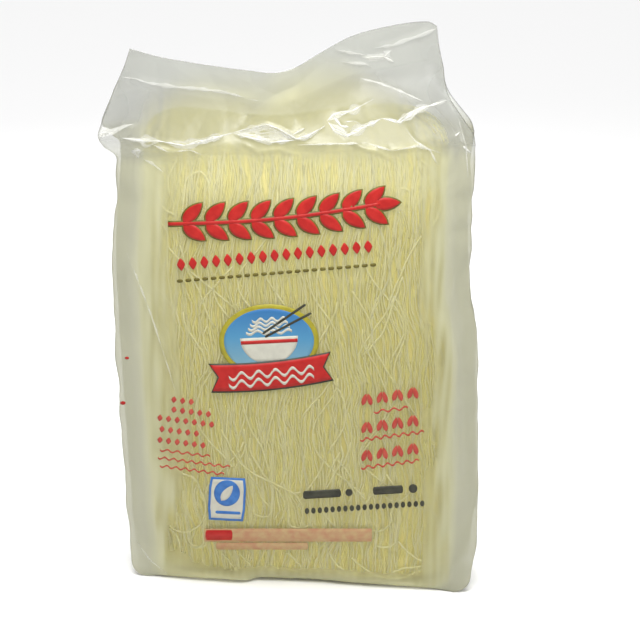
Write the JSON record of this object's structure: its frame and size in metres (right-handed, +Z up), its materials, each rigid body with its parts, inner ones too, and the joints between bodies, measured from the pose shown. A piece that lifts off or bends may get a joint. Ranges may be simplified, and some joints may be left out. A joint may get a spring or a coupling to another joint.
{
  "type": "film pack of dried rice vermicelli",
  "caption": "Upright clear film pack holding a stiff flat brick of dried rice vermicelli, with gusseted sides and a thin waving header above",
  "frame": {"origin": "on the floor under the middle of the pack's box", "axes": "+Z up through the standing pack, +X to the right seen from the front, -Y out of the front panel"},
  "size_m": [0.1998, 0.0618, 0.2945],
  "materials": {
    "film": "clear, slightly milky, glossy plastic film",
    "noodles": "dry, pale yellow, slightly translucent rice noodle",
    "print_red": "red printing ink under film gloss",
    "print_dark": "dark printing ink under film gloss",
    "print_gold": "olive gold printing ink under film gloss",
    "print_blue": "blue printing ink under film gloss",
    "print_pale": "pale printing ink under film gloss"
  },
  "bodies": {
    "root": {"bag": "film"}
  },
  "joints": []
}
